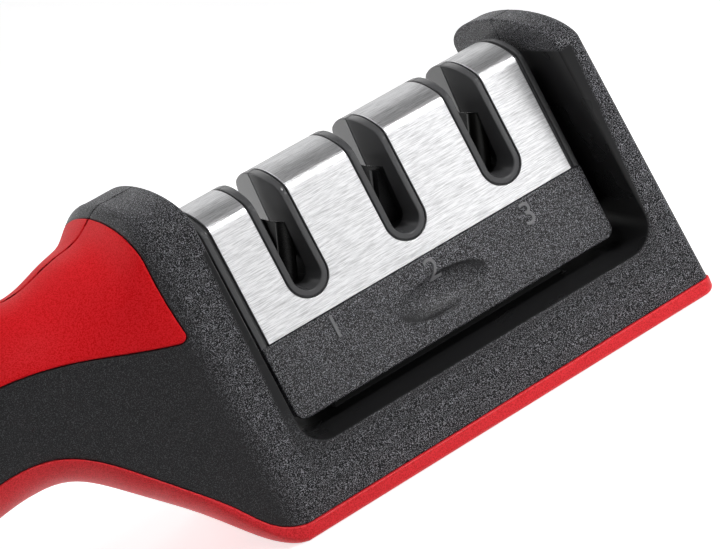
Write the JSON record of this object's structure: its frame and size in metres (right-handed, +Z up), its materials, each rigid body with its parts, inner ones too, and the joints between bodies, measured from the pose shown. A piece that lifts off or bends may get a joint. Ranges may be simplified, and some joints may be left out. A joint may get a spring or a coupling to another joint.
{
  "type": "pull through knife sharpener",
  "caption": "Hand held pull through knife sharpener: U-shaped frame with a soft grip handle, lift-out abrasive cartridge under a slotted steel cover, and non-slip base.",
  "frame": {"origin": "underside of the non-slip base, below the middle of the cartridge", "axes": "+X along the tool from the handle to the free end, -Y the front with the thumb dimple, +Z up"},
  "size_m": [0.2049, 0.0474, 0.0661],
  "materials": {
    "frame_black": "fine grained black moulding",
    "soft_red": "soft touch red with a fine grain",
    "cartridge_black": "smooth black moulding",
    "cover_steel": "brushed along its length",
    "holder_grey": "plain grey moulding",
    "diamond_rod": "dull diamond coated steel",
    "carbide": "ground hard metal",
    "fine_ceramic": "smooth dark ceramic",
    "screw_steel": "zinc plated"
  },
  "bodies": {
    "frame": {"front_shell": "frame_black", "rear_shell": "frame_black", "front_grip": "soft_red", "rear_grip": "soft_red", "base_pad": "soft_red", "shell_screws": "screw_steel"},
    "cartridge": {"cartridge_front_half": "cartridge_black", "cartridge_rear_half": "cartridge_black", "steel_cover": "cover_steel", "coarse_rod_holder": "holder_grey", "coarse_rod_front": "diamond_rod", "coarse_rod_rear": "diamond_rod", "blade_holder": "holder_grey", "carbide_blade_front": "carbide", "carbide_blade_rear": "carbide", "blade_screw": "screw_steel", "fine_rod_holder": "holder_grey", "fine_rod_front": "fine_ceramic", "fine_rod_rear": "fine_ceramic", "cartridge_screws": "screw_steel"}
  },
  "joints": [
    {"name": "cartridge_lift", "type": "slide", "parent": "frame", "child": "cartridge", "axis": [0, 0, 1], "range_m": [0, 0.055]}
  ]
}
